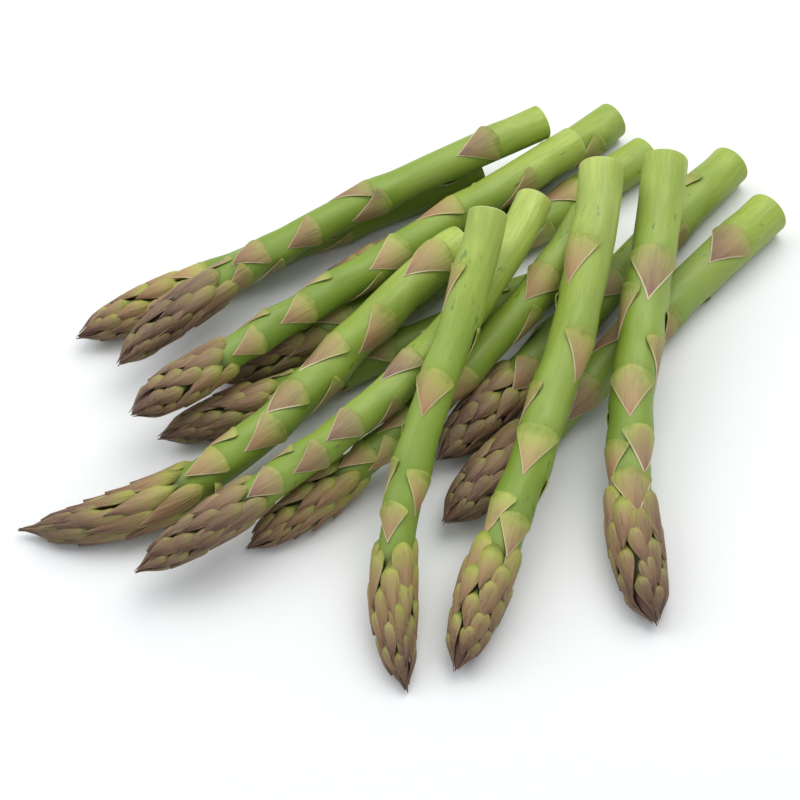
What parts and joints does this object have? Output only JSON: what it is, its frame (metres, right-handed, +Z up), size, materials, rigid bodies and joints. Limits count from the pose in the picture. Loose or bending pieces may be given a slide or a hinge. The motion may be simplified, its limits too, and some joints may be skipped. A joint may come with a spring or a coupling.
{
  "type": "asparagus bundle",
  "caption": "Loose bundle of fresh green asparagus spears, lying in a low heap with the cut ends at the back and the scaly heads spread to the front and side.",
  "frame": {"origin": "middle of the heap's footprint on the surface it lies on", "axes": "+Z up from the surface, the heap's lowest extent; +X along its longest extent, towards the right outer cut end; +Y towards the back, where the cut ends lie"},
  "size_m": [0.2274, 0.2124, 0.0526],
  "materials": {
    "asparagus": null
  },
  "bodies": {
    "root": {"spear_back_hidden": "asparagus", "spear_back_inner": "asparagus", "spear_left_low": "asparagus", "spear_middle_low": "asparagus", "spear_right_low": "asparagus", "spear_right_outer": "asparagus", "spear_left_top": "asparagus", "spear_left_blunt": "asparagus", "spear_middle_open": "asparagus", "spear_middle_purple": "asparagus", "spear_front_long": "asparagus", "spear_front_left": "asparagus", "spear_front_middle": "asparagus", "spear_front_right": "asparagus"}
  },
  "joints": []
}
